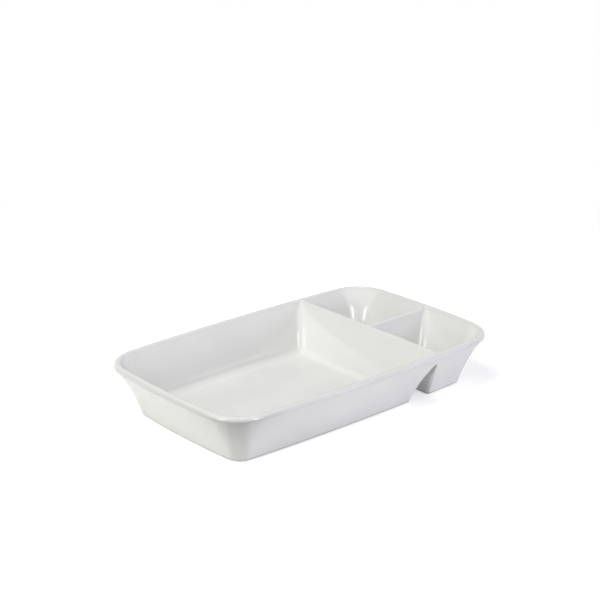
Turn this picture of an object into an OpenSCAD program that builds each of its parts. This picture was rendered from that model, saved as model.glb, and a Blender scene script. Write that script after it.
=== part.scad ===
// Divided serving bowl: a glazed dish with one big well and two small ones.
// Lengths are in millimetres and angles in degrees. X runs along the dish, the small
// wells lie towards +X, Z points up, and the origin is the middle of the footprint.

/* [Overall size] */
// Length over the rim
dish_l = 330; // [260:1:420]
// Width over the rim
dish_w = 201; // [170:1:260]
// Height of the rim above the table
dish_h = 51; // [44:1:62]

/* [Rim outline] */
// Radius of the four corners of the rim
corner_r = 38; // [36:1:48]
// How far each long side bows outwards
side_bow = 3.3; // [1:0.1:6]
// How far each short side bows outwards
end_bow = 2.1; // [1:0.1:4]

/* [Rim bead] */
// Radius of the rounded lip
bead_r = 3.5; // [3:0.1:4]
// Height of the upright band under the lip
band_h = 1.5; // [0.5:0.1:3]
// How far the wall steps in under the band
rim_step = 1; // [0.4:0.1:2]

/* [Walls and floor] */
// Thickness of the outer walls
wall_t = 6; // [5:0.1:6.5]
// Height of the floor above the table
floor_t = 6; // [4.5:0.1:7]
// Lean of the outer walls from upright at the table
foot_lean = 17; // [14:0.5:20]
// Lean of the outer walls from upright under the rim
rim_lean = 36; // [32:0.5:38]
// Radius between the floor and the walls
floor_r = 9; // [5:0.5:9.5]

/* [Dividers] */
// Distance of the cross divider from the middle of the dish
crest_x = 80.5; // [60:0.5:90]
// How far the dividers stay below the rim
crest_drop = 0.9; // [0.2:0.1:3]
// Radius of the dividers' rounded top
crest_r = 3.5; // [3:0.1:4]
// Thickness of the dividers' walls
divider_t = 4.5; // [4:0.1:5.5]
// Lean of the cross divider at the foot, towards the big well
big_foot_lean = 13; // [11:0.5:15]
// Lean of the cross divider under its top, towards the big well
big_top_lean = 30; // [28:0.5:33]
// Lean of the cross divider at the foot, towards the small wells
small_foot_lean = 8; // [6:0.5:9]
// Lean of the cross divider under its top, towards the small wells
small_top_lean = 13; // [12:0.5:16]
// Lean of the short divider at the foot
short_foot_lean = 11; // [9:0.5:13]
// Lean of the short divider under its top
short_top_lean = 26; // [24:0.5:29]
// Radius of the gap's round top under the cross divider
cross_gap_r = 3; // [2:0.5:3.5]
// Radius of the gap's round top under the short divider
short_gap_r = 5; // [4.5:0.5:6]

/* [Foot rings] */
// Height of the bare rings that the wells stand on
foot_h = 1.2; // [0.8:0.1:2]
// Width of the bare rings
foot_w = 6; // [5:0.5:7]

/* [Hidden] */
// Straight steps that an arc is drawn in
wall_steps = 6;
lip_steps = 6;
small_steps = 4;
corner_steps = 7;
side_steps = 5;
end_steps = 3;
// Run of a cutting solid past what it cuts
overrun = 1;
// Land on each side of a divider's top where it joins the walls of the wells
seam_land = 1.5;

// Centres and radii of the eight tangent arcs that make the rim's outline
corner_cx = dish_l / 2 - corner_r - end_bow;
corner_cy = dish_w / 2 - corner_r - side_bow;
side_rad = (corner_cx ^ 2 + (corner_r + side_bow) ^ 2 - corner_r ^ 2) / (2 * side_bow);
end_rad = (corner_cy ^ 2 + (corner_r + end_bow) ^ 2 - corner_r ^ 2) / (2 * end_bow);
side_half = asin(corner_cx / (side_rad - corner_r));
end_half = asin(corner_cy / (end_rad - corner_r));

// Points of an arc, and the direction from its centre to its point at height z
function arc(c, r, from, to, steps) = [for (i = [0:steps]) c + r * [cos(from + (to - from) * i / steps),
                                                                   sin(from + (to - from) * i / steps)]];
function rise(c, r, z) = asin((z - c.y) / r);
function flipped(points) = [for (i = [len(points) - 1:-1:0]) [-points[i].x, points[i].y]];

// The outer wall is an arc in section, whose centre lies outside the dish and below the table
wall_top = dish_h - bead_r - band_h;
wall_rad = wall_top / (sin(rim_lean) - sin(foot_lean));
wall_c = [wall_rad * cos(rim_lean) - rim_step, -wall_rad * sin(foot_lean)];
flare = wall_rad * cos(foot_lean) - wall_c.x;
wall_face = arc(wall_c, wall_rad, 180 - foot_lean, 180 - rim_lean, wall_steps);

// The lip is a round bead that the inner face runs up to
bead_c = [-bead_r, dish_h - bead_r];
lip_out = arc(bead_c, bead_r, -asin(band_h / bead_r), 90, lip_steps);
lip_in = arc(bead_c, bead_r, 180 - rim_lean, 90, small_steps);

// The inner face is parallel to the outer one, and runs into the floor through a rounding
inner_rad = wall_rad + wall_t;
floor_c = [wall_c.x - sqrt((inner_rad + floor_r) ^ 2 - (floor_t + floor_r - wall_c.y) ^ 2), floor_t + floor_r];
floor_rise = rise(wall_c, inner_rad + floor_r, floor_c.y);
inner_face = arc(wall_c, inner_rad, 180 - floor_rise, 180 - rise(wall_c, inner_rad, wall_top), wall_steps);
floor_arc = arc(floor_c, floor_r, -90, -floor_rise, small_steps);

// Each side of a divider is an arc as well, which runs up to a round top and down to the floor
crest_top = dish_h - crest_drop;
crest_c = [0, crest_top - crest_r];
big_side = [big_foot_lean, big_top_lean];
small_side = [small_foot_lean, small_top_lean];
short_side = [short_foot_lean, short_top_lean];
function side_r(lean) = (crest_c.y + crest_r * sin(lean[1])) / (sin(lean[1]) - sin(lean[0]));
function side_c(lean) = [-(side_r(lean) - crest_r) * cos(lean[1]), -side_r(lean) * sin(lean[0])];
function side_at(lean, z, depth) = side_c(lean).x + sqrt((side_r(lean) - depth) ^ 2 - (z - side_c(lean).y) ^ 2);
function foot_rise(lean) = rise(side_c(lean), side_r(lean) + floor_r, floor_t + floor_r);
function half_divider(lean) = concat(
    [[side_at(lean, floor_t + floor_r, -floor_r), 0]],
    arc([side_at(lean, floor_t + floor_r, -floor_r), floor_t + floor_r], floor_r, 270, 180 + foot_rise(lean), small_steps),
    arc(side_c(lean), side_r(lean), foot_rise(lean), lean[1], wall_steps),
    arc(crest_c, crest_r, lean[1], 90, small_steps));

// The gap under a divider follows both faces at the walls' thickness, with a round top
function turned(p) = [-p.x, p.y];
function gap_r(lean, r) = side_r(lean) - divider_t - r;
function gap_line(a, b) = turned(side_c(b)) - side_c(a);
function gap_along(a, b, r) = (gap_r(a, r) ^ 2 - gap_r(b, r) ^ 2 + norm(gap_line(a, b)) ^ 2)
    / (2 * norm(gap_line(a, b)));
function gap_c(a, b, r) = side_c(a) + gap_line(a, b) / norm(gap_line(a, b)) * gap_along(a, b, r)
    + [-gap_line(a, b).y, gap_line(a, b).x] / norm(gap_line(a, b)) * sqrt(gap_r(a, r) ^ 2 - gap_along(a, b, r) ^ 2);
function half_gap(lean, c, r) = concat(
    arc(side_c(lean), side_r(lean) - divider_t, rise(side_c(lean), side_r(lean) - divider_t, -overrun),
        rise(side_c(lean), gap_r(lean, r), c.y), wall_steps),
    arc(c, r, rise(side_c(lean), gap_r(lean, r), c.y), 90, small_steps));
cross_gap_c = gap_c(small_side, big_side, cross_gap_r);
short_gap_c = gap_c(short_side, short_side, short_gap_r);
gap_x = crest_x + cross_gap_c.x;

// Planes where the dividers' tops meet the walls of the wells
big_seam_x = crest_x - side_at(big_side, cross_gap_c.y, 0) - seam_land;
small_seam_x = crest_x + side_at(small_side, cross_gap_c.y, 0) + seam_land;
short_seam_y = side_at(short_side, short_gap_c.y, 0) + seam_land;

// Points of the rim's outline, set in by so much, from the middle of the +X end around to its start
function end_line(inset) = arc([dish_l / 2 - end_rad, 0], end_rad - inset, 0, end_half, end_steps);
function corner_line(inset) = arc([corner_cx, corner_cy], corner_r - inset, end_half, 90 - side_half, corner_steps);
function side_line(inset) = arc([0, dish_w / 2 - side_rad], side_rad - inset, 90 - side_half, 90, side_steps);
function part_of(points, first, last) = [for (i = [first:last]) points[i]];
function quarter(inset, first, last) = concat(part_of(end_line(inset), first, end_steps - 1), corner_line(inset),
                                              part_of(side_line(inset), 1, last));
function half_line(inset) = concat(quarter(inset, 0, side_steps), flipped(quarter(inset, 1, side_steps - 1)));
function outline(inset) = concat(half_line(inset), [for (p = half_line(inset)) -p]);
around = len(outline(0));

// A solid that a section makes around the outline: the section runs upwards and x = 0 is the outline
module stack(section) {
    polyhedron([for (s = section) for (p = outline(-s.x)) [p.x, p.y, s.y]], concat(
        [[for (j = [0:around - 1]) j]],
        [for (i = [1:len(section) - 1]) for (j = [0:around - 1])
            [(i - 1) * around + j, i * around + j, i * around + (j + 1) % around, (i - 1) * around + (j + 1) % around]],
        [[for (j = [1:around]) len(section) * around - j]]));
}

// The dish as if it were full, up to the lip
module full_dish() { stack(wall_face); }

// A divider's top reaches through the outer walls, and runs up to the lip
module full_top() { stack(concat(wall_face, [inner_face[wall_steps]], lip_in)); }

// The hollows of the three wells, with the dividers left standing between them
module hollows() {
    difference() {
        stack(concat(floor_arc, inner_face, [[-bead_r, wall_top], [-bead_r, dish_h]]));
        across() polygon(concat(half_divider(small_side), flipped(half_divider(big_side))));
        along(crest_x, dish_l / 2) polygon(concat(half_divider(short_side), flipped(half_divider(short_side))));
    }
}

// Turn a section upright and run it across the dish, or along it from x = low to x = high
module across() {
    translate([crest_x, 0, 0]) rotate([90, 0, 0]) linear_extrude(dish_w, center = true) children();
}

module along(low, high) { translate([low, 0, 0]) rotate([90, 0, 90]) linear_extrude(high - low) children(); }

module gaps() {
    across() polygon(concat(half_gap(small_side, cross_gap_c, cross_gap_r),
                            flipped(half_gap(big_side, turned(cross_gap_c), cross_gap_r))));
    along(gap_x, dish_l / 2) polygon(concat(half_gap(short_side, short_gap_c, short_gap_r),
                                            flipped(half_gap(short_side, short_gap_c, short_gap_r))));
}

// The room in which the solid of a well lies, below and beside the dividers' tops
module big_zone() {
    translate([-dish_l / 2, -dish_w / 2, foot_h]) cube([dish_l / 2 + gap_x, dish_w, cross_gap_c.y - foot_h]);
    translate([-dish_l / 2, -dish_w / 2, foot_h]) cube([dish_l / 2 + big_seam_x, dish_w, dish_h]);
}

module small_zone() {
    intersection() {
        union() {
            translate([gap_x, 0, foot_h]) cube([dish_l / 2, dish_w / 2, cross_gap_c.y - foot_h]);
            translate([small_seam_x, 0, foot_h]) cube([dish_l / 2, dish_w / 2, dish_h]);
        }
        union() {
            translate([0, 0, foot_h]) cube([dish_l, dish_w / 2, short_gap_c.y - foot_h]);
            translate([0, short_seam_y, foot_h]) cube([dish_l, dish_w / 2, dish_h]);
        }
    }
}

// What is left inside each foot ring
module recess(low_x, high_x, low_y) {
    intersection() {
        stack([[-flare - foot_w, -overrun], [-flare - foot_w, foot_h]]);
        translate([low_x, low_y, -2 * overrun]) cube([high_x - low_x, dish_w, 3 * overrun + foot_h]);
    }
}

module rim() {
    color("white") difference() {
        stack(lip_out);
        stack(concat([inner_face[wall_steps] - [0, overrun], inner_face[wall_steps]], lip_in,
                     [[-bead_r, dish_h + overrun]]));
    }
}

module main_well() {
    color("white") difference() {
        intersection() {
            full_dish();
            big_zone();
        }
        hollows();
        gaps();
    }
}

module small_well() {
    difference() {
        intersection() {
            full_dish();
            small_zone();
        }
        hollows();
        gaps();
    }
}

module left_small_well() { color("white") small_well(); }

module right_small_well() { color("white") mirror([0, 1, 0]) small_well(); }

module cross_divider() {
    color("white") difference() {
        intersection() {
            full_top();
            translate([big_seam_x, -dish_w / 2, cross_gap_c.y])
                cube([small_seam_x - big_seam_x, dish_w, dish_h]);
        }
        hollows();
        gaps();
    }
}

module short_divider() {
    color("white") difference() {
        intersection() {
            full_top();
            translate([small_seam_x, -short_seam_y, short_gap_c.y]) cube([dish_l / 2, 2 * short_seam_y, dish_h]);
        }
        hollows();
        gaps();
    }
}

module main_foot_ring() {
    color("antiquewhite") difference() {
        intersection() {
            full_dish();
            translate([-dish_l / 2, -dish_w / 2, 0]) cube([dish_l / 2 + gap_x, dish_w, foot_h]);
        }
        gaps();
        recess(-dish_l / 2, crest_x - side_at(big_side, 0, divider_t) - foot_w, -dish_w / 2);
    }
}

module small_foot_ring() {
    difference() {
        intersection() {
            full_dish();
            translate([gap_x, 0, 0]) cube([dish_l / 2, dish_w / 2, foot_h]);
        }
        gaps();
        recess(crest_x + side_at(small_side, 0, divider_t) + foot_w, dish_l / 2,
               side_at(short_side, 0, divider_t) + foot_w);
    }
}

module left_foot_ring() { color("antiquewhite") small_foot_ring(); }

module right_foot_ring() { color("antiquewhite") mirror([0, 1, 0]) small_foot_ring(); }

rim();
main_well();
left_small_well();
right_small_well();
cross_divider();
short_divider();
main_foot_ring();
left_foot_ring();
right_foot_ring();
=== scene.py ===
import math
import numpy as np
import bmesh
import bpy
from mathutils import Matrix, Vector


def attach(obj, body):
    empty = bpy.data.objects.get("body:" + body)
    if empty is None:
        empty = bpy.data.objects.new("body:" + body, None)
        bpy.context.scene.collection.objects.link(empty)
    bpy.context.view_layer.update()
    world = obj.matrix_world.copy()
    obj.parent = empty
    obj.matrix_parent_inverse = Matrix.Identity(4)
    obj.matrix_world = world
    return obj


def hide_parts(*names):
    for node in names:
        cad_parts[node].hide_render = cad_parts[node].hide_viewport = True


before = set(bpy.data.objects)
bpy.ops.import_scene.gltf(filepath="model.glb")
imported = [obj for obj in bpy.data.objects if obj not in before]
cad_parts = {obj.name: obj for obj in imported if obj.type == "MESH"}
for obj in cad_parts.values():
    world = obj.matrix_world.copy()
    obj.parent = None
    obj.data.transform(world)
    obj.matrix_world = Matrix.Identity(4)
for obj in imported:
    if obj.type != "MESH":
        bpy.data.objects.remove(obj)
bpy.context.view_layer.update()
print("frame loaded")

# camera, solved from the perspective of the rim, the foot line and the notches; lens and sensor in millimetres
cameraSettings = {"place": (-0.87806, -0.99397, 0.57534), "turnDeg": -41.294, "heightDeg": 19.914, "lens": 92.82,
                  "sensor": 36.0, "clip": (0.05, 30.0)}


def newObject(name, data):
    made = bpy.data.objects.new(name, data)
    bpy.context.scene.collection.objects.link(made)
    return made


def makeCamera(settings):
    data = bpy.data.cameras.new("camera")
    data.lens, data.sensor_width = settings["lens"], settings["sensor"]
    data.clip_start, data.clip_end = settings["clip"]
    turn, height = math.radians(settings["turnDeg"]), math.radians(settings["heightDeg"])
    back = Vector((math.sin(turn) * math.cos(height), -math.cos(turn) * math.cos(height), math.sin(height)))
    camera = newObject("camera", data)
    camera.location = settings["place"]
    camera.rotation_euler = back.to_track_quat("Z", "Y").to_euler()
    bpy.context.scene.camera = camera


makeCamera(cameraSettings)
print("camera placed")

# sizes of the dish in millimetres, as the solids have them
dish = {"length": 330.0, "width": 201.0, "height": 51.0, "cornerR": 38.0, "sideBow": 3.3, "endBow": 2.1,
        "beadR": 3.5, "bandH": 1.5, "rimStep": 1.0, "floorZ": 6.0, "footLean": 17.0, "rimLean": 36.0,
        "crestX": 80.5, "crestDrop": 0.9, "crestR": 3.5, "dividerT": 4.5, "footH": 1.2, "footW": 6.0}
bigSide = {"lean": (13.0, 30.0)}
smallSide = {"lean": (8.0, 13.0)}
shortSide = {"lean": (11.0, 26.0)}
gapRoof = {"cross": 3.0, "short": 5.0}


def sinD(degrees):
    return np.sin(np.radians(degrees))


def cosD(degrees):
    return np.cos(np.radians(degrees))


# outline of the rim: eight tangent arcs, two long sides, two ends and four corners
cornerX = dish["length"] / 2 - dish["cornerR"] - dish["endBow"]
cornerY = dish["width"] / 2 - dish["cornerR"] - dish["sideBow"]
sideRad = (cornerX ** 2 + (dish["cornerR"] + dish["sideBow"]) ** 2 - dish["cornerR"] ** 2) / (2 * dish["sideBow"])
endRad = (cornerY ** 2 + (dish["cornerR"] + dish["endBow"]) ** 2 - dish["cornerR"] ** 2) / (2 * dish["endBow"])
sideHalf = math.asin(cornerX / (sideRad - dish["cornerR"]))
endHalf = math.asin(cornerY / (endRad - dish["cornerR"]))
sideCy = dish["width"] / 2 - sideRad
endCx = dish["length"] / 2 - endRad

# outer wall in section: an arc from the foot to the rim, centred outside the dish and below the table
wallTop = dish["height"] - dish["beadR"] - dish["bandH"]
wallRad = wallTop / (sinD(dish["rimLean"]) - sinD(dish["footLean"]))
wallC = (-(wallRad * cosD(dish["rimLean"]) - dish["rimStep"]), -wallRad * sinD(dish["footLean"]))
beadC = (dish["beadR"], dish["height"] - dish["beadR"])
innerRad = math.hypot(beadC[0] - wallC[0], beadC[1] - wallC[1]) + dish["beadR"]


# Depth of a point inside the rim's outline: for the corner's own sector the corner radius less the distance
# to its centre, and otherwise the same for the long side's or the end's arc.
def insetOf(x, y):
    ax, ay = np.abs(x), np.abs(y)
    side = sideRad - np.hypot(ax, ay - sideCy)
    end = endRad - np.hypot(ax - endCx, ay)
    corner = dish["cornerR"] - np.hypot(ax - cornerX, ay - cornerY)
    angle = np.arctan2(ay - cornerY, ax - cornerX)
    inCorner = (angle > endHalf) & (angle < math.pi / 2 - sideHalf)
    return np.where(inCorner, corner, np.minimum(side, end))


# Arc of a divider's side: it is tangent to the round crest at the upper lean and has the lower lean at the
# table.
def facePair(lean):
    crestZ = dish["height"] - dish["crestDrop"] - dish["crestR"]
    rad = (crestZ + dish["crestR"] * sinD(lean[1])) / (sinD(lean[1]) - sinD(lean[0]))
    centre = (-(rad - dish["crestR"]) * cosD(lean[1]), -rad * sinD(lean[0]))
    return rad, centre, (0.0, crestZ)


# Distance in front of a divider's side, in its section: measured from the crest's circle above the line
# through both centres, and from the side's arc below it.
def faceDistance(across, z, lean):
    rad, centre, crest = facePair(lean)
    aboveTangent = (z - centre[1]) * cosD(lean[1]) - (across - centre[0]) * sinD(lean[1]) > 0
    toCrest = np.hypot(across - crest[0], z - crest[1]) - dish["crestR"]
    toArc = np.hypot(across - centre[0], z - centre[1]) - rad
    return np.where(aboveTangent, toCrest, toArc)


# Distance outside a divider: the left side's where across is negative, else the right side's.
def dividerDistance(across, z, leanLeft, leanRight):
    return np.where(across < 0, faceDistance(-across, z, leanLeft), faceDistance(across, z, leanRight))


# Distance in front of the inner wall in section: from the bead's circle beyond the line through both
# centres, and from the wall's arc before it.
def wallDistance(inset, z):
    ux, uz = beadC[0] - wallC[0], beadC[1] - wallC[1]
    above = (z - wallC[1]) * ux - (inset - wallC[0]) * uz > 0
    toBead = np.hypot(inset - beadC[0], z - beadC[1]) - dish["beadR"]
    toArc = np.hypot(inset - wallC[0], z - wallC[1]) - innerRad
    return np.where(above, toBead, toArc)


# Union of solids with a fillet: the radius less the length of the vector of what each distance falls short
# of it.
def roundUnion(distances, radius):
    total = sum(np.maximum(radius - d, 0.0) ** 2 for d in distances)
    return radius - np.sqrt(total)


# Cubic step from 0 at low to 1 at high.
def smoothStep(value, low, high):
    t = np.clip((value - low) / (high - low), 0.0, 1.0)
    return t * t * (3 - 2 * t)


# Rounding radii in millimetres: the hollows' fillets, which shrink from deep to top between two heights, and the
# outer edges beside the gaps. Those change from the big well's to the small wells' within edgeShift of the gap's
# middle, and shrink to roofShare of their size round a gap's roof.
blend = {"deep": 7.0, "top": 2.2, "fadeFrom": 40.0, "fadeTo": 50.0, "bigEdge": 1.6, "smallEdge": 3.4,
         "edgeShift": 6.0, "roofFrom": 20.0, "roofTo": 33.0, "roofShare": 0.15}


# Distance above the upper side: the filleted union of the wall, both dividers and the floor. The fillet
# gets small towards the rim, and the short divider ends at the cross divider's crest.
def airAbove(x, y, z):
    radius = blend["deep"] + (blend["top"] - blend["deep"]) * smoothStep(z, blend["fadeFrom"], blend["fadeTo"])
    cross = dividerDistance(x - dish["crestX"], z, bigSide["lean"], smallSide["lean"])
    short = dividerDistance(y, z, shortSide["lean"], shortSide["lean"])
    beyond = np.maximum(dish["crestX"] - x, 0.0)
    short = np.where(beyond > 0, np.hypot(np.maximum(short, 0.0), beyond), short)
    return roundUnion([wallDistance(insetOf(x, y), z), cross, short, z - dish["floorZ"]], radius)


# Centre of the gap's round roof: the point that is the roof's radius inside both inner faces.
def gapRoofCentre(leanLeft, leanRight, radius):
    (radL, centreL, _), (radR, centreR, _) = facePair(leanLeft), facePair(leanRight)
    first, second = np.array([-centreL[0], centreL[1]]), np.array([centreR[0], centreR[1]])
    reachL, reachR = radL - dish["dividerT"] - radius, radR - dish["dividerT"] - radius
    line = second - first
    span = np.linalg.norm(line)
    along = (reachL ** 2 - reachR ** 2 + span ** 2) / (2 * span)
    up = math.sqrt(reachL ** 2 - along ** 2)
    side = np.array([-line[1], line[0]]) / span
    side = side if side[1] > 0 else -side
    return first + line / span * along + side * up


crossRoof = gapRoofCentre(bigSide["lean"], smallSide["lean"], gapRoof["cross"])
shortRoof = gapRoofCentre(shortSide["lean"], shortSide["lean"], gapRoof["short"])
gapX = dish["crestX"] + crossRoof[0]


# Distance outside a gap: outside one of the inner faces' circles, or outside the round roof between them.
def gapDistance(across, z, leanLeft, leanRight, roof, radius):
    fromRoof = across - roof[0], z - roof[1]
    faces, onRoof = [], True
    for sign, (rad, centre, _) in ((-1, facePair(leanLeft)), (1, facePair(leanRight))):
        faces.append(np.hypot(sign * across - centre[0], z - centre[1]) - (rad - dish["dividerT"]))
        normal = roof[0] - sign * centre[0], roof[1] - centre[1]
        turn = normal[0] * fromRoof[1] - normal[1] * fromRoof[0]
        onRoof = onRoof & (turn * normal[0] > 0)
    return np.where(onRoof, np.hypot(*fromRoof) - radius, np.maximum(*faces))


# Depth inside the body, measured from below: the rounded intersection of what lies inside the outer wall,
# outside the gap under the cross divider and outside the gap under the short one.
def bodyAbove(x, y, z):
    wall = np.hypot(insetOf(x, y) - wallC[0], z - wallC[1]) - wallRad
    cross = gapDistance(x - dish["crestX"], z, bigSide["lean"], smallSide["lean"], crossRoof, gapRoof["cross"])
    short = gapDistance(y, z, shortSide["lean"], shortSide["lean"], shortRoof, gapRoof["short"])
    beyond = np.maximum(gapX - x, 0.0)
    short = np.where(beyond > 0, np.hypot(np.maximum(short, 0.0), beyond), short)
    shift = smoothStep(x, gapX - blend["edgeShift"], gapX + blend["edgeShift"])
    radius = blend["bigEdge"] + (blend["smallEdge"] - blend["bigEdge"]) * shift
    radius = radius * (1 + (blend["roofShare"] - 1) * smoothStep(z, blend["roofFrom"], blend["roofTo"]))
    return roundUnion([wall, cross, short], radius)


halvings = 44  # steps of each search by halving, enough for full precision


# Height at which a field that grows upwards passes zero, by halving the interval for all points at once.
def solveHeight(field, x, y, low, high):
    low, high = np.full(x.shape, low), np.full(x.shape, high)
    for _ in range(halvings):
        middle = (low + high) / 2
        inside = field(x, y, middle) < 0
        low, high = np.where(inside, middle, low), np.where(inside, high, middle)
    return (low + high) / 2


# Unit vector of the field's gradient, from central differences.
def slopeOf(field, x, y, z, step=0.03):
    grad = np.stack([field(x + step, y, z) - field(x - step, y, z),
                     field(x, y + step, z) - field(x, y - step, z),
                     field(x, y, z + step) - field(x, y, z - step)], axis=-1)
    return grad / np.maximum(np.linalg.norm(grad, axis=-1, keepdims=True), 1e-12)


print("shape fields ready")

# How finely the surfaces are laid out: counts of points down each arc, the row where the pieces part, counts of
# columns round a corner and along the big well's end, and along the other edges a step that grows from the fine
# one to the full one. The neck is the strip over a gap's roof, as wide as twice neckAcross.
layout = {"bead": 8, "wall": 20, "fillet": 9, "neck": 4, "gapTop": 6, "gapSide": 22, "lip": 15, "lipFoot": 6,
          "ringOuter": 7, "ringInner": 6, "seamRow": 10, "corner": 26, "bigEnd": 44, "step": 2.6, "fine": 0.3,
          "growth": 0.16, "neckAcross": 0.4}


# Points of an arc as two rows, distance and height.
def arcPoints(centre, radius, fromDeg, toDeg, count):
    angle = np.radians(np.linspace(fromDeg, toDeg, count))
    return centre[0] + radius * np.cos(angle), centre[1] + radius * np.sin(angle)


# Rows of arcs that follow each other, with the point that two of them share kept once.
def joinRows(*arcs):
    return (np.concatenate([arcs[0][0]] + [a[0][1:] for a in arcs[1:]]),
            np.concatenate([arcs[0][1]] + [a[1][1:] for a in arcs[1:]]))


# Rows down a wall or a divider: round top, side arc, floor fillet.
def upperRows(centre, radius, crest, crestRadius, leanDeg):
    deep, floorZ = blend["deep"], dish["floorZ"]
    foot = math.degrees(math.asin((floorZ + deep - centre[1]) / (radius + deep)))
    filletC = (centre[0] + (radius + deep) * cosD(foot), floorZ + deep)
    return joinRows(arcPoints(crest, crestRadius, 90, leanDeg, layout["bead"]),
                    arcPoints(centre, radius, leanDeg, foot, layout["wall"]),
                    arcPoints(filletC, deep, 180 + foot, 270, layout["fillet"]))


beadLean = math.degrees(math.atan2(beadC[1] - wallC[1], beadC[0] - wallC[0]))
wallRows = upperRows(wallC, innerRad, beadC, dish["beadR"], beadLean)


def dividerRows(lean):
    rad, centre, crest = facePair(lean)
    return upperRows(centre, rad, crest, dish["crestR"], lean[1])


# Rows down a gap's face, as distance from the roof's centre line: a narrow neck from the wall's top down to the
# roof, the round roof, then the inner face.
def lowerRows(lean, roof, radius):
    rad, centre, _ = facePair(lean)
    rise = math.degrees(math.asin((roof[1] - centre[1]) / (rad - dish["dividerT"] - radius)))
    foot = math.degrees(math.asin((dish["footH"] - centre[1]) / (rad - dish["dividerT"])))
    start = math.acos(layout["neckAcross"] / radius)
    neck = (np.linspace(roof[0], roof[0] + layout["neckAcross"], layout["neck"]),
            np.linspace(wallTop, roof[1] + radius * math.sin(start), layout["neck"]))
    across, z = joinRows(neck, arcPoints(roof, radius, math.degrees(start), rise, layout["gapTop"]),
                         arcPoints(centre, rad - dish["dividerT"], rise, foot, layout["gapSide"]))
    return across - roof[0], z


# Depths of the outer wall inside the outline, at the heights of the gap's rows.
def outerRows(gapZ):
    return wallC[0] + np.sqrt(wallRad ** 2 - (gapZ - wallC[1]) ** 2)


# Shares from 0 to 1 along an edge, fine at the ends that meet another wall and coarser between.
def spread(length, atStart, atEnd):
    def halfSteps(half, fineEnd):
        places, step = [0.0], layout["fine"] if fineEnd else layout["step"]
        while places[-1] < half:
            places.append(places[-1] + min(step, layout["step"]))
            step *= 1 + layout["growth"]
        return np.array(places) * half / places[-1]
    first, second = halfSteps(length / 2, atStart), halfSteps(length / 2, atEnd)
    return np.concatenate([first, (length - second)[::-1][1:]]) / length


# Points of a long side, set in: its arc from one angle off the Y axis to another.
def sideArc(shares, inset, fromAngle, toAngle, sign):
    angle = fromAngle + (toAngle - fromAngle) * shares
    return (sideRad - inset) * np.sin(angle), sign * (sideCy + (sideRad - inset) * np.cos(angle))


# Points of an end, set in: its arc from one angle off the X axis to another.
def endArc(shares, inset, fromAngle, toAngle, sign):
    angle = fromAngle + (toAngle - fromAngle) * shares
    return sign * (endCx + (endRad - inset) * np.cos(angle)), (endRad - inset) * np.sin(angle)


def cornerArc(shares, inset, signX, signY, fromAngle, toAngle):
    angle = fromAngle + (toAngle - fromAngle) * shares
    radius = dish["cornerR"] - inset
    return signX * (cornerX + radius * np.cos(angle)), signY * (cornerY + radius * np.sin(angle))


cornerShares, endShares = np.linspace(0, 1, layout["corner"]), np.linspace(0, 1, layout["bigEnd"])
crossShares = spread(dish["width"] / 2, True, True)
shortShares = spread(dish["length"] / 2 - dish["crestX"], True, True)
bigSideShares = spread(cornerX + dish["crestX"], True, False)
smallSideShares = spread(cornerX - dish["crestX"], True, False)
halfEndShares = spread(cornerY, True, False)


# Names and shares of the big well's edges in turn, from the far junction round to it again.
def bigColumns():
    return [("farSide", bigSideShares), ("farCorner", cornerShares), ("end", endShares),
            ("nearCorner", cornerShares), ("nearSide", 1 - bigSideShares[::-1]),
            ("cross", np.concatenate([-crossShares[::-1], crossShares[1:]]))]


# One edge's part of a table with a value for each column; a single column of values holds for all edges.
def edgeValues(values, start, count):
    return values if np.ndim(values) < 2 or values.shape[1] == 1 else values[:, start:start + count]


# Loops round a well: the points of each edge in turn, from its shares and its part of each table.
def loopPoints(columns, tables, pointsOn):
    parts, start = [], 0
    for name, shares in columns:
        w = shares[None, :-1]
        parts.append(pointsOn(name, w, *[edgeValues(table, start, w.size) for table in tables]))
        start += w.size
    return np.concatenate([x for x, _ in parts], 1), np.concatenate([y for _, y in parts], 1)


# Loops of the big well: inset from the outline on three edges, and at a distance from the divider's centre line
# on the fourth, mitred where they meet.
def bigPoints(insets, acrosses, centreX):
    def pointsOn(name, w, inset, across):
        junctionX = centreX - across
        junction = np.arcsin(junctionX / (sideRad - inset))
        if name == "farSide":
            return sideArc(w, inset, junction, -sideHalf, 1)
        if name == "farCorner":
            return cornerArc(w, inset, -1, 1, math.pi / 2 - sideHalf, endHalf)
        if name == "end":
            return endArc(w, inset, endHalf, -endHalf, -1)
        if name == "nearCorner":
            return cornerArc(w, inset, -1, -1, endHalf, math.pi / 2 - sideHalf)
        if name == "nearSide":
            return sideArc(w, inset, -sideHalf, junction, -1)
        junctionY = sideCy + np.sqrt((sideRad - inset) ** 2 - junctionX ** 2)
        return junctionX + 0 * w, junctionY * w
    return loopPoints(bigColumns(), (insets, acrosses), pointsOn)


def smallColumns():
    return [("cross", crossShares), ("farSide", smallSideShares), ("farCorner", cornerShares),
            ("end", 1 - halfEndShares[::-1]), ("short", 1 - shortShares[::-1])]


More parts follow.
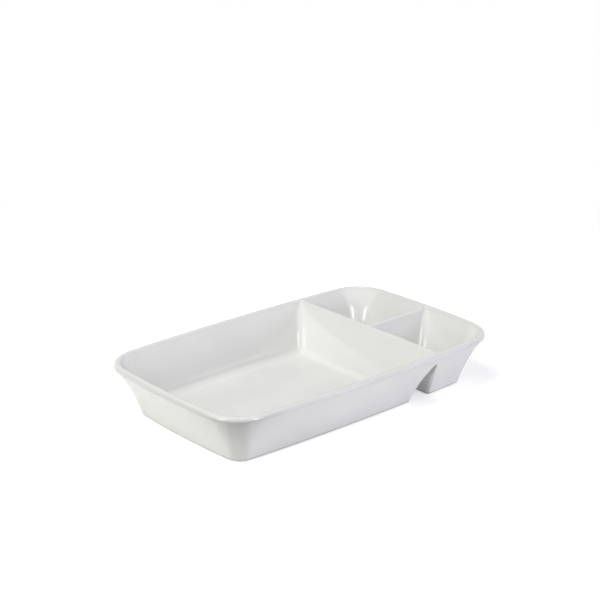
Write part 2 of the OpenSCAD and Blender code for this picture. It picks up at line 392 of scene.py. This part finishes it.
# Loops of the left small well, in the same way, from the dividers' junction along the cross divider, the far
# side, the corner, the end and back along the short divider.
def smallPoints(insets, acrosses, acrossShorts, centreX):
    def pointsOn(name, w, inset, across, acrossShort):
        startX = centreX + across
        if name == "cross":
            junctionY = sideCy + np.sqrt((sideRad - inset) ** 2 - startX ** 2)
            return startX + 0 * w, acrossShort + (junctionY - acrossShort) * w
        if name == "farSide":
            return sideArc(w, inset, np.arcsin(startX / (sideRad - inset)), sideHalf, 1)
        if name == "farCorner":
            return cornerArc(w, inset, 1, 1, math.pi / 2 - sideHalf, endHalf)
        if name == "end":
            return endArc(w, inset, endHalf, np.arcsin(acrossShort / (endRad - inset)), 1)
        endX = endCx + np.sqrt((endRad - inset) ** 2 - acrossShort ** 2)
        return endX + (startX - endX) * w, acrossShort + 0 * w
    return loopPoints(smallColumns(), (insets, acrosses, acrossShorts), pointsOn)


# For each interval between two columns, the edge that it lies on.
def tagsOf(columns):
    return np.concatenate([np.full(len(shares) - 1, name, dtype=object) for name, shares in columns])


print("layout ready")


def newShell():
    return {"points": [], "normals": [], "quads": [], "count": 0}


# Adds a grid of points with their normals and gives back their numbers in the same layout.
def addPoints(shell, points, normals):
    shell["points"].append(points.reshape(-1, 3))
    shell["normals"].append(normals.reshape(-1, 3))
    numbers = shell["count"] + np.arange(points[..., 0].size).reshape(points.shape[:-1])
    shell["count"] += numbers.size
    return numbers


def addQuads(shell, a, b, c, d):
    shell["quads"].append(np.stack([a.ravel(), b.ravel(), c.ravel(), d.ravel()], 1))


# Quads of a grid, for the intervals between columns that are kept.
def addGrid(shell, numbers, keep):
    part = numbers[:, :-1][:, keep], numbers[:, 1:][:, keep]
    addQuads(shell, part[0][:-1], part[0][1:], part[1][1:], part[1][:-1])


def addStrip(shell, first, second, keep):
    addQuads(shell, first[:-1][keep], first[1:][keep], second[1:][keep], second[:-1][keep])


def addFan(shell, row, pole):
    poles = np.full(row.size - 1, int(pole))
    addQuads(shell, row[:-1], row[1:], poles, poles)


# Merges equal points, drops faces without area, turns all faces outwards and gives each point the normal of
# the smooth surface that it was taken from.
def finishShell(shell, name, nodes):
    points, normals = np.concatenate(shell["points"]) + 0.0, np.concatenate(shell["normals"])
    quads = np.concatenate(shell["quads"])
    _, first, inverse = np.unique(np.round(points, 3), axis=0, return_index=True, return_inverse=True)
    points, normals, quads = points[first], normals[first], inverse.reshape(-1)[quads]
    same = quads == np.roll(quads, -1, axis=1)
    whole = quads[~same.any(1)]
    oneLess = np.flatnonzero(same.sum(1) == 1)
    drop = same[oneLess].argmax(1)
    keepColumns = np.array([[1, 2, 3], [0, 2, 3], [0, 1, 3], [0, 1, 2]])[drop]
    triangles = np.take_along_axis(quads[oneLess], keepColumns, axis=1)
    triangles = triangles[triangles[:, 0] != triangles[:, 2]]
    whole = whole[(whole[:, 0] != whole[:, 2]) & (whole[:, 1] != whole[:, 3])]
    used = np.unique(np.concatenate([whole.ravel(), triangles.ravel()]))
    renumber = np.zeros(len(points), int)
    renumber[used] = np.arange(len(used))
    mesh = bpy.data.meshes.new(name)
    mesh.from_pydata(points[used] / 1000.0, [], renumber[whole].tolist() + renumber[triangles].tolist())
    work = bmesh.new()
    work.from_mesh(mesh)
    bmesh.ops.recalc_face_normals(work, faces=work.faces)
    openEdges = sum(1 for edge in work.edges if not edge.is_manifold)
    work.to_mesh(mesh)
    work.free()
    mesh.shade_smooth()
    mesh.normals_split_custom_set_from_vertices(normals[used])
    piece = newObject(name, mesh)
    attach(piece, "root")
    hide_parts(*nodes)
    print(name, len(used), "points", len(whole) + len(triangles), "faces", openEdges, "open edges")
    return piece


def column(values):
    return np.asarray(values, float)[:, None]


# loops on the flat underside, in millimetres from the wall's foot inwards, and the shares by which the last loop
# shrinks towards the middle of a floor
footSteps = np.array([0.5, 1.2, 2.4, 4.0, 6.0, 8.0])
shrinkShares = np.array([0.985, 0.955, 0.9, 0.8, 0.66, 0.48, 0.3, 0.13])


# Adds loops that draw the last one in to the well's middle.
def towardsPole(x, y):
    poleX, poleY = (x[-1].min() + x[-1].max()) / 2, (y[-1].min() + y[-1].max()) / 2
    shares = column(shrinkShares)
    x = np.concatenate([x, poleX + (x[-1:] - poleX) * shares])
    y = np.concatenate([y, poleY + (y[-1:] - poleY) * shares])
    return x, y, np.array([[poleX]]), np.array([[poleY]])


# heights between which a well's upper and lower surface are searched
searched = {"upper": (dish["floorZ"] - 0.5, dish["height"] + 3), "lower": (-3.0, wallTop + 1.5)}


# One well's upper and lower grids. Each grid's rows are loops at steps down the walls, its columns run down
# them, and its heights are where the fields above are zero.
def makeWell(columns, upper, lower, mirrorY):
    wellGrid = {}
    for key, field, loops, floor, side in (("upper", airAbove, upper, dish["floorZ"], 1),
                                           ("lower", bodyAbove, lower, dish["footH"], -1)):
        x, y, poleX, poleY = towardsPole(*loops)
        z = np.maximum(solveHeight(field, x, y, *searched[key]), floor)
        poleZ = np.full((1, 1), floor)
        normal = side * slopeOf(field, x, y, np.maximum(z, floor + 1e-3))
        flat = z < floor + 1e-4
        normal[flat] = (0, 0, side)
        if mirrorY:
            y, poleY = -y, -poleY
            normal[..., 1] *= -1
        wellGrid[key] = np.stack([x, y, z], -1)
        wellGrid[key + "Normal"] = normal
        wellGrid[key + "Pole"] = np.stack([poleX, poleY, poleZ], -1)
    wellGrid["tags"] = tagsOf(columns)
    return wellGrid


# lip in section, from its top outwards and down to the step under it, as distance in and height; its lower edge
# turns under with the radius lipTurn
lipTurn = 0.7
lipRows = joinRows(arcPoints(beadC, dish["beadR"], 90, 180, layout["lip"]),
                   (np.array([0, 0.0]), np.array([beadC[1], wallTop + lipTurn])),
                   arcPoints((lipTurn, wallTop + lipTurn), lipTurn, 180, 270, layout["lipFoot"]),
                   (np.array([lipTurn, dish["rimStep"]]), np.array([wallTop, wallTop])))


# Normals of a swept section from its own direction and from the unit vectors that lead inwards from the outline.
def sweptNormals(inward, outIn, outUp):
    upward = np.broadcast_to(outUp[:, None, None], inward.shape[:-1] + (1,))
    return np.concatenate([inward * outIn[:, None, None], upward], -1)


# Direction of each point of a section, from its neighbours.
def directionOf(distance, height):
    along = np.gradient(np.stack([distance, height], 1), axis=0)
    return along / np.linalg.norm(along, axis=1, keepdims=True)


# Grid of the lip's outer side: its section carried along the outline, with normals square to it.
def makeLip(pointsOf, mirrorY):
    inset, z = lipRows
    share = np.linspace(0, 1, inset.size)
    centre = column(dish["crestX"] + (gapX - dish["crestX"]) * share)
    x, y = pointsOf(column(inset), centre)
    step = 0.01
    x2, y2 = pointsOf(column(inset) + step, centre)
    inward = np.stack([x2 - x, y2 - y], -1) / step
    inward /= np.maximum(np.linalg.norm(inward, axis=-1, keepdims=True), 1e-9)
    along = directionOf(inset, z)
    outIn, outUp = along[:, 1], -along[:, 0]
    if outUp[0] < 0:
        outIn, outUp = -outIn, -outUp
    normal = sweptNormals(inward, outIn, outUp)
    points = np.stack([x, y, np.broadcast_to(column(z), x.shape)], -1)
    if mirrorY:
        points[..., 1] *= -1
        normal[..., 1] *= -1
    return points, normal


# Rows with further loops added after the last one.
def addSteps(rows, steps):
    return column(np.concatenate([rows, rows[-1] + steps]))


crossBig = lowerRows(bigSide["lean"], (-crossRoof[0], crossRoof[1]), gapRoof["cross"])
crossSmall = lowerRows(smallSide["lean"], crossRoof, gapRoof["cross"])
shortBoth = lowerRows(shortSide["lean"], shortRoof, gapRoof["short"])
outerBig, outerSmall = outerRows(crossBig[1]), outerRows(crossSmall[1])


def bigLipPath(inset, centre):
    return bigPoints(inset, 0 * inset, centre)


def smallLipPath(inset, centre):
    return smallPoints(inset, 0 * inset, 0 * inset, centre)


bigUpper = bigPoints(column(wallRows[0]), column(dividerRows(bigSide["lean"])[0]), dish["crestX"])
bigLower = bigPoints(addSteps(outerBig, footSteps), addSteps(crossBig[0], footSteps), gapX)
smallUpper = smallPoints(column(wallRows[0]), column(dividerRows(smallSide["lean"])[0]),
                         column(dividerRows(shortSide["lean"])[0]), dish["crestX"])
smallLower = smallPoints(addSteps(outerSmall, footSteps), addSteps(crossSmall[0], footSteps),
                         addSteps(shortBoth[0], footSteps), gapX)
wells = {"main_well": makeWell(bigColumns(), bigUpper, bigLower, False),
         "left_small_well": makeWell(smallColumns(), smallUpper, smallLower, False),
         "right_small_well": makeWell(smallColumns(), smallUpper, smallLower, True)}
wells["main_well"]["lip"] = makeLip(bigLipPath, False)
wells["left_small_well"]["lip"] = makeLip(smallLipPath, False)
wells["right_small_well"]["lip"] = makeLip(smallLipPath, True)
print("surfaces solved")

seam = layout["seamRow"]
dividerTags = ("cross", "short")


def closeLoop(numbers):
    return np.concatenate([numbers, numbers[:, :1]], 1)


# Closed loops of a well's upper or lower side, down to a row or all of them.
def addSide(shell, grid, side, count=None):
    return closeLoop(addPoints(shell, grid[side][:count], grid[side + "Normal"][:count]))


# Closed shell of a well: inside from the seam row down, outside from the lip or the gap's roof down, and a
# hidden band between their top edges.
def makeWellPiece(node, name):
    grid, shell = wells[node], newShell()
    upper, lower = addSide(shell, grid, "upper"), addSide(shell, grid, "lower")
    upperPole = addPoints(shell, grid["upperPole"], np.array([[[0, 0, 1.0]]]))
    lowerPole = addPoints(shell, grid["lowerPole"], np.array([[[0, 0, -1.0]]]))
    besideGap = np.isin(grid["tags"], dividerTags)
    everywhere = np.ones(len(besideGap), bool)
    addGrid(shell, upper[seam:], everywhere)
    addFan(shell, upper[-1], upperPole[0, 0])
    addGrid(shell, lower[seam:], everywhere)
    addGrid(shell, lower[:seam + 1], ~besideGap)
    addFan(shell, lower[-1], lowerPole[0, 0])
    addStrip(shell, upper[seam], lower[0], ~besideGap)
    addStrip(shell, upper[seam], lower[seam], besideGap)
    for edge in np.flatnonzero(besideGap != np.roll(besideGap, 1)):
        corner = np.full(seam, upper[seam, edge])
        addQuads(shell, lower[:seam, edge], lower[1:seam + 1, edge], corner, corner)
    return finishShell(shell, name, [node])


# Closed ring of the lip: its inner side down to the seam row, its outer side and a hidden face below.
def makeRimPiece():
    shell = newShell()
    for grid in wells.values():
        upper = addSide(shell, grid, "upper", seam + 1)
        lip = addPoints(shell, *grid["lip"])
        lip[0] = upper[0, :-1]
        lip = closeLoop(lip)
        alongRim = ~np.isin(grid["tags"], dividerTags)
        addGrid(shell, upper, alongRim)
        addGrid(shell, lip, alongRim)
        addStrip(shell, lip[-1], upper[seam], alongRim)
        for edge in np.flatnonzero(alongRim != np.roll(alongRim, 1)):
            corner = np.full(seam, lip[-1, edge])
            addQuads(shell, upper[:seam, edge], upper[1:seam + 1, edge], corner, corner)
    return finishShell(shell, "rimGlazed", ["rim"])


# Closed bar of a divider: its crest above, the gap's roof below, and hidden faces at the seams.
def makeDividerPiece(tag, name, node):
    shell = newShell()
    for grid in wells.values():
        here = grid["tags"] == tag
        if not here.any():
            continue
        upper, lower = addSide(shell, grid, "upper", seam + 1), addSide(shell, grid, "lower", seam + 1)
        addGrid(shell, upper, here)
        addGrid(shell, lower, here)
        addStrip(shell, upper[seam], lower[seam], here)
        for edge in np.flatnonzero(here != np.roll(here, 1)):
            addQuads(shell, upper[:-1, edge], upper[1:, edge], lower[1:, edge], lower[:-1, edge])
    return finishShell(shell, name, [node])


pieces = [makeRimPiece(), makeWellPiece("main_well", "mainWellGlazed"),
          makeWellPiece("left_small_well", "leftSmallWellGlazed"),
          makeWellPiece("right_small_well", "rightSmallWellGlazed"),
          makeDividerPiece("cross", "crossDividerGlazed", "cross_divider"),
          makeDividerPiece("short", "shortDividerGlazed", "short_divider")]
print("glazed pieces made")


# foot rings: how far in from the wall's foot they start, the rounding of their outer and inner edge, how far they
# reach up into the wells, and the depths between which their places are searched
footRing = {"start": 0.15, "outerRound": 0.8, "innerRound": 0.6, "upInto": 0.15, "search": (-2.0, 12.0)}
ringTop, outerRound, innerRound = dish["footH"] + footRing["upInto"], footRing["outerRound"], footRing["innerRound"]
ringRows = joinRows(
    (np.array([footRing["start"]] * 2), np.array([ringTop, outerRound])),
    arcPoints((footRing["start"] + outerRound, outerRound), outerRound, 180, 270, layout["ringOuter"]),
    arcPoints((dish["footW"] - innerRound, innerRound), innerRound, 270, 360, layout["ringInner"]),
    (np.array([dish["footW"]] * 2), np.array([innerRound, ringTop])))


# Closed ring under a well: each row of the section lies at its depth inside the wall's foot, found along the
# columns' own paths by halving.
def makeFootRing(node, name, pathOf, mirrorY):
    depth, z = ringRows
    level = dish["footH"] / 2
    low, high = [np.full(pathOf(column(depth))[0].shape, limit) for limit in footRing["search"]]
    for _ in range(halvings):
        middle = (low + high) / 2
        x, y = pathOf(middle)
        inside = bodyAbove(x, y, level) > column(depth)
        low, high = np.where(inside, low, middle), np.where(inside, middle, high)
    x, y = pathOf((low + high) / 2)
    step = 0.02
    slope = np.stack([bodyAbove(x + step, y, level) - bodyAbove(x - step, y, level),
                      bodyAbove(x, y + step, level) - bodyAbove(x, y - step, level)], -1)
    slope /= np.maximum(np.linalg.norm(slope, axis=-1, keepdims=True), 1e-9)
    along = directionOf(depth, z)
    normals = sweptNormals(slope, along[:, 1], -along[:, 0])
    points = np.stack([x, y, np.broadcast_to(column(z), x.shape)], -1)
    if mirrorY:
        points[..., 1] *= -1
        normals[..., 1] *= -1
    shell = newShell()
    numbers = closeLoop(addPoints(shell, points, normals))
    everywhere = np.ones(numbers.shape[1] - 1, bool)
    addGrid(shell, np.concatenate([numbers, numbers[:1]]), everywhere)
    return finishShell(shell, name, [node])


def bigFootPath(depth):
    return bigPoints(outerBig[-1] + depth, crossBig[0][-1] + depth, gapX)


def smallFootPath(depth):
    return smallPoints(outerSmall[-1] + depth, crossSmall[0][-1] + depth, shortBoth[0][-1] + depth, gapX)


rings = [makeFootRing("main_foot_ring", "mainFootRingClay", bigFootPath, False),
         makeFootRing("left_foot_ring", "leftFootRingClay", smallFootPath, False),
         makeFootRing("right_foot_ring", "rightFootRingClay", smallFootPath, True)]
print("foot rings made")


# Gives each input that is named a value, or a link from another node's output.
def fillInputs(tree, node, inputs):
    for key, value in inputs.items():
        if isinstance(value, bpy.types.NodeSocket):
            tree.links.new(value, node.inputs[key])
        else:
            node.inputs[key].default_value = value


# New node with its settings and its inputs filled; gives back its outputs.
def addNode(tree, kind, inputs, **settings):
    node = tree.nodes.new("ShaderNode" + kind)
    for key, setting in settings.items():
        setattr(node, key, setting)
    fillInputs(tree, node, inputs)
    return node.outputs


# New node group with place inputs, number inputs and number outputs.
def newGroup(name, places, numbers, results):
    group = bpy.data.node_groups.new(name, "ShaderNodeTree")
    for socketName in places:
        group.interface.new_socket(socketName, in_out="INPUT", socket_type="NodeSocketVector")
    for socketName, value in numbers.items():
        socket = group.interface.new_socket(socketName, in_out="INPUT", socket_type="NodeSocketFloat")
        socket.default_value = value
    for socketName in results:
        group.interface.new_socket(socketName, in_out="OUTPUT", socket_type="NodeSocketFloat")
    return group, group.nodes.new("NodeGroupInput").outputs, group.nodes.new("NodeGroupOutput")


# Node group of slow and fine unevenness: clouds of noise at one scale and pores at another, from object
# coordinates, as a mask from 0 to 1 and as a height.
def makeUnevenGroup():
    tree, start, end = newGroup(
        "unevenSurface", ["Vector"], {"Cloud Scale": 20.0, "Grain Scale": 400.0, "Grain Share": 0.3},
        ["Mask", "Height"])
    place = start["Vector"]
    cloud = addNode(tree, "TexNoise", {
        "Vector": place, "Scale": start["Cloud Scale"], "Detail": 3.0, "Roughness": 0.45})["Fac"]
    grain = addNode(tree, "TexNoise", {"Vector": place, "Scale": start["Grain Scale"], "Detail": 2.0})["Fac"]
    mask = addNode(tree, "MapRange", {"Value": cloud, "From Min": 0.3, "From Max": 0.7})["Result"]
    height = addNode(tree, "Mix", {"Factor": start["Grain Share"], "A": cloud, "B": grain})["Result"]
    fillInputs(tree, end, {"Mask": mask, "Height": height})
    return tree


# Node group of sparse round specks: in each cell of a Voronoi pattern a speck of the given radius, kept only
# where the cell's own random value is under the share; two more specks sit at given points.
def makeSpeckGroup():
    tree, start, end = newGroup(
        "firedSpecks", ["Vector", "First Place", "Second Place"],
        {"Cell Scale": 45.0, "Radius": 0.0003, "Share": 0.05, "Softness": 0.6}, ["Mask"])

    def combine(operation, first, second):
        return addNode(tree, "Math", {0: first, 1: second}, operation=operation)[0]

    def spot(distance):
        inside = combine("DIVIDE", combine("SUBTRACT", start["Radius"], distance), soft)
        return combine("MINIMUM", combine("MAXIMUM", inside, 0.0), 1.0)

    cells = addNode(tree, "TexVoronoi", {"Vector": start["Vector"], "Scale": start["Cell Scale"]})
    tint = addNode(tree, "SeparateColor", {"Color": cells["Color"]})[0]
    reach = combine("DIVIDE", cells["Distance"], start["Cell Scale"])
    soft = combine("MULTIPLY", start["Radius"], start["Softness"])
    total = combine("MULTIPLY", spot(reach), combine("LESS_THAN", tint, start["Share"]))
    for placeName in ("First Place", "Second Place"):
        gap = addNode(tree, "VectorMath", {0: start["Vector"], 1: start[placeName]}, operation="DISTANCE")
        total = combine("MAXIMUM", total, spot(gap["Value"]))
    fillInputs(tree, end, {"Mask": total})
    return tree


unevenGroup, speckGroup = makeUnevenGroup(), makeSpeckGroup()


def newMaterial(name):
    material = bpy.data.materials.new(name)
    material.use_nodes = True
    return material, material.node_tree, material.node_tree.nodes["Principled BSDF"]


def mixColours(tree, factor, *colours):
    first, second = [(*colour, 1.0) if isinstance(colour, tuple) else colour for colour in colours]
    return addNode(tree, "Mix", {"Factor": factor, "A": first, "B": second}, data_type="RGBA")["Result"]


# Mix of two shaders, the second by the factor's share.
def mixShaders(tree, factor, first, second):
    return addNode(tree, "MixShader", {0: factor, 1: first, 2: second})[0]


def mapValue(tree, value, fromMin, fromMax, toMin, toMax, kind="LINEAR"):
    return addNode(tree, "MapRange", {
        "Value": value, "From Min": fromMin, "From Max": fromMax, "To Min": toMin, "To Max": toMax},
        interpolation_type=kind)["Result"]


# finishes: places, radii and depths are in metres, scales are noise per metre
# the greyer top tone is partly thin glaze and partly painted shade that darkens the top of the lip and the crests
glazeFinish = {"pale": (0.80, 0.80, 0.78), "deep": (0.765, 0.768, 0.755), "thinGlazeAndShade": (0.69, 0.69, 0.685),
               "speck": (0.20, 0.17, 0.14), "roughness": (0.025, 0.045), "ior": 1.6, "cloudScale": 22.0,
               "grainScale": 420.0, "grainShare": 0.12, "depth": 0.00022, "thinGlazeAndShadeFrom": 0.0475, "thinGlazeAndShadeShare": 0.7,
               "speckRadius": 0.00035, "speckShare": 0.03, "floorSpeck": (0.0173, 0.0354, 0.0060),
               "wallSpeck": (-0.0954, -0.0783, 0.0106)}
clayFinish = {"pale": (0.80, 0.78, 0.74), "dark": (0.73, 0.70, 0.64), "roughness": (0.75, 0.92),
              "cloudScale": 60.0, "grainScale": 1500.0, "grainShare": 0.75, "depth": 0.00006}


# Unevenness with a finish's own scales: the roughness follows its mask, and the bump its height.
def addUneven(tree, shader, place, finish):
    uneven = addNode(tree, "Group", {
        "Vector": place, "Cloud Scale": finish["cloudScale"], "Grain Scale": finish["grainScale"],
        "Grain Share": finish["grainShare"]}, node_tree=unevenGroup)
    bump = addNode(tree, "Bump", {"Height": uneven["Height"], "Distance": finish["depth"], "Strength": 1.0})
    rough = mapValue(tree, uneven["Mask"], 0, 1, *finish["roughness"])
    fillInputs(tree, shader, {"Roughness": rough, "Normal": bump["Normal"]})
    return uneven


# Clear white glaze over a white body: a slow shift of tone, a greyer tone on the top of the lip and the crests,
# partly glaze that runs thin there and partly painted shade that darkens these tops, few dark specks, a soft wave
# and a fine orange-peel in its gloss.
def makeGlaze(finish):
    material, tree, shader = newMaterial("whiteGlaze")
    place = addNode(tree, "TexCoord", {})["Object"]
    uneven = addUneven(tree, shader, place, finish)
    specks = addNode(tree, "Group", {
        "Vector": place, "Radius": finish["speckRadius"], "Share": finish["speckShare"],
        "First Place": finish["floorSpeck"], "Second Place": finish["wallSpeck"]}, node_tree=speckGroup)
    height = addNode(tree, "SeparateXYZ", {"Vector": place})["Z"]
    # painted shade: by height, the top of the lip and the crests turn greyer, partly for glaze that runs thin there
    thinGlazeAndShade = mapValue(tree, height, finish["thinGlazeAndShadeFrom"], dish["height"] / 1000, 0.0, finish["thinGlazeAndShadeShare"], "SMOOTHSTEP")
    tone = mixColours(tree, uneven["Mask"], finish["pale"], finish["deep"])
    tone = mixColours(tree, thinGlazeAndShade, tone, finish["thinGlazeAndShade"])
    tone = mixColours(tree, specks["Mask"], tone, finish["speck"])
    fillInputs(tree, shader, {"Base Color": tone, "IOR": finish["ior"]})
    return material


# Bare fired clay of the foot rings: matt, grainy and a little darker in places.
def makeClay(finish):
    material, tree, shader = newMaterial("bareClay")
    uneven = addUneven(tree, shader, addNode(tree, "TexCoord", {})["Object"], finish)
    tone = mixColours(tree, uneven["Height"], finish["pale"], finish["dark"])
    fillInputs(tree, shader, {"Base Color": tone})
    return material


glaze, clay = makeGlaze(glazeFinish), makeClay(clayFinish)
for piece in pieces:
    piece.data.materials.append(glaze)
for piece in rings:
    piece.data.materials.append(clay)
print("finishes made")

# Lamps, in metres and watts: soft ones high on the left, overhead and low at the front right, which light the dish
# and aren't mirrored; tall boxes beyond the left end and the near side; and lamps that the gloss alone mirrors, the
# line ones along the lip and the gloss ones in front of the boxes.
lamps = {
    "softOverhead": {"place": (0.1, 0.1, 1.7), "size": (1.7, 1.7), "power": 3.2, "colour": (0.80, 0.76, 1.0)},
    "softLeft": {"place": (-0.95, 0.15, 1.75), "size": (1.2, 1.2), "power": 25.6, "colour": (0.98, 0.99, 0.93)},
    "softRight": {"place": (0.75, -1.07, 0.32), "size": (0.9, 0.55), "power": 6.3, "colour": (0.86, 0.83, 1.0)},
    "boxLeft": {"place": (-1.5, -0.08, 0.62), "size": (0.52, 0.98), "power": 5.8, "colour": (1.0, 1.0, 0.96)},
    "boxNear": {"place": (-0.06, -1.5, 0.62), "size": (0.52, 0.98), "power": 4.0, "colour": (0.95, 0.95, 1.0)},
    "lineFront": {"place": (0.855, -1.095, 0.20), "size": (0.6, 0.10), "power": 4.0, "colour": (0.97, 0.97, 1.0)},
    "lineTop": {"place": (0.53, 0.60, 1.39), "size": (0.2, 0.2), "power": 1.6, "colour": (1.0, 1.0, 0.97)},
    "glossLeft": {"place": (-1.47, -0.08, 0.61), "size": (0.50, 0.96), "power": 1.6, "colour": (1.0, 1.0, 0.97)},
    "glossNear": {"place": (-0.06, -1.47, 0.61), "size": (0.50, 0.96), "power": 5.0, "colour": (0.95, 0.95, 1.0)}}
aimHeight = 0.03  # height above the table of the point that every lamp is turned to


def addLamp(name, lamp):
    data = bpy.data.lights.new(name, "AREA")
    data.shape = "RECTANGLE"
    data.size, data.size_y = lamp["size"]
    data.energy, data.color = lamp["power"], lamp["colour"]
    light = newObject(name, data)
    light.location = lamp["place"]
    towards = Vector(lamp["place"]) - Vector((0, 0, aimHeight))
    light.rotation_euler = towards.to_track_quat("Z", "Y").to_euler()
    light.visible_camera = False
    light.visible_glossy = not name.startswith("soft")
    light.visible_diffuse = not name.startswith(("line", "gloss"))


for lampName, lamp in lamps.items():
    addLamp(lampName, lamp)

# upright dark cards that the gloss mirrors at the back left and the front right: turn in degrees about the dish's
# middle, distance from it, width, and heights of the lower and upper edge
cards = {"backCard": {"turn": 134.0, "distance": 1.45, "width": 1.1, "bottom": 0.12, "top": 1.15, "tone": 0.03},
         "frontCard": {"turn": 312.0, "distance": 1.45, "width": 1.1, "bottom": 0.40, "top": 1.25, "tone": 0.03}}
# Mats on the floor before the dish's corner, its near side and its left end. They take away light that the floor
# throws up, the pale one for a dark band on the corner itself, and cast no shadow. From a start point they reach
# from near to far in the direction of their turn.
mats = {"farMat": {"start": (0.0, 0.0), "turn": 220.0, "near": 0.195, "far": 1.3, "nearWidth": 1.3,
                   "farWidth": 1.3, "lift": 0.004, "tone": 0.05},
        "cornerMat": {"start": (-0.134, -0.0685), "turn": 225.0, "near": 0.003, "far": 0.16, "nearWidth": 0.026,
                      "farWidth": 0.17, "lift": 0.002, "tone": 0.75},
        "nearMat": {"start": (0.13, -0.12), "turn": 275.0, "near": 0.05, "far": 0.9, "nearWidth": 0.26,
                    "farWidth": 0.9, "lift": 0.006, "tone": 0.12},
        "leftMat": {"start": (-0.17, 0.03), "turn": 175.0, "near": 0.06, "far": 0.9, "nearWidth": 0.16,
                    "farWidth": 0.8, "lift": 0.008, "tone": 0.12}}
sheetRoughness = 0.9


# Unit vectors away from the dish at a turn, and across that.
def turned(degrees):
    away = Vector((cosD(degrees), sinD(degrees), 0))
    return away, Vector((-away.y, away.x, 0))


def newSheet(name, corners, material):
    mesh = bpy.data.meshes.new(name)
    mesh.from_pydata(corners, [], [(0, 1, 2, 3)])
    mesh.materials.append(material)
    return newObject(name, mesh)


# Matt four-cornered sheet out of the camera's sight.
def addSheet(name, corners, tone, castsShadow):
    material, tree, shader = newMaterial(name)
    fillInputs(tree, shader, {"Base Color": (tone, tone, tone, 1), "Roughness": sheetRoughness})
    sheet = newSheet(name, corners, material)
    sheet.visible_camera = False
    sheet.visible_shadow = castsShadow


for cardName, card in cards.items():
    away, across = turned(card["turn"])
    half = across * card["width"] / 2
    low, high = [away * card["distance"] + Vector((0, 0, card[key])) for key in ("bottom", "top")]
    addSheet(cardName, [low - half, low + half, high + half, high - half], card["tone"], True)

for matName, mat in mats.items():
    away, across = turned(mat["turn"])
    start = Vector((*mat["start"], mat["lift"]))
    near, far = start + away * mat["near"], start + away * mat["far"]
    nearHalf, farHalf = across * mat["nearWidth"] / 2, across * mat["farWidth"] / 2
    addSheet(matName, [near - nearHalf, far - farHalf, far + farHalf, near + nearHalf], mat["tone"], False)

# room and floor: strength of the room's light and of the white that the camera and the gloss see, the floor's
# colour and what the eye sees added to it, the distances over which it turns to plain white, and half its width
studio = {"roomColour": (1.0, 1.0, 1.0), "roomStrength": 0.17, "white": 1.0, "floorColour": (0.88, 0.88, 0.88),
          "floorLift": 0.5, "shadowFrom": 0.24, "shadowTo": 0.75, "floorHalf": 8.0}


# For rays from the camera, a mirror or glass: 1, else 0.
def seenRays(tree):
    path = addNode(tree, "LightPath", {})
    total = path["Is Camera Ray"]
    for outputName in ("Is Glossy Ray", "Is Transmission Ray"):
        total = addNode(tree, "Math", {0: total, 1: path[outputName]}, operation="MAXIMUM")[0]
    return total


# Plain light for all other rays, and white for those that are seen.
def makeRoom(values):
    world = bpy.data.worlds.new("paleRoom")
    bpy.context.scene.world = world
    world.use_nodes = True
    tree = world.node_tree
    room = tree.nodes["Background"]
    fillInputs(tree, room, {"Color": (*values["roomColour"], 1), "Strength": values["roomStrength"]})
    white = addNode(tree, "Background", {"Color": (1, 1, 1, 1), "Strength": values["white"]})[0]
    whole = mixShaders(tree, seenRays(tree), room.outputs[0], white)
    fillInputs(tree, tree.nodes["World Output"], {"Surface": whole})


makeRoom(studio)


# White floor: matt for the light, lifted to white for the eye, with the shadow kept near the dish and plain
# white further off. From below it is clear.
def makeFloor(values):
    material, tree, shader = newMaterial("whiteFloor")
    tree.nodes.remove(shader)
    matt = addNode(tree, "BsdfDiffuse", {"Color": (*values["floorColour"], 1)})[0]
    lift = addNode(tree, "Emission", {"Strength": values["floorLift"]})[0]
    near = addNode(tree, "AddShader", {0: matt, 1: lift})[0]
    far = addNode(tree, "Emission", {"Strength": values["white"]})[0]
    place = addNode(tree, "TexCoord", {})["Object"]
    length = addNode(tree, "VectorMath", {0: place}, operation="LENGTH")["Value"]
    away = mapValue(tree, length, values["shadowFrom"], values["shadowTo"], 0.0, 1.0, "SMOOTHSTEP")
    upper = mixShaders(tree, seenRays(tree), matt, mixShaders(tree, away, near, far))
    below = addNode(tree, "NewGeometry", {})["Backfacing"]
    whole = mixShaders(tree, below, upper, addNode(tree, "BsdfTransparent", {})[0])
    fillInputs(tree, tree.nodes["Material Output"], {"Surface": whole})
    half = values["floorHalf"]
    newSheet("studioFloor", [(-half, -half, 0), (half, -half, 0), (half, half, 0), (-half, half, 0)],
                      material)


makeFloor(studio)
bpy.context.scene.view_settings.view_transform = "Standard"
print("studio ready")
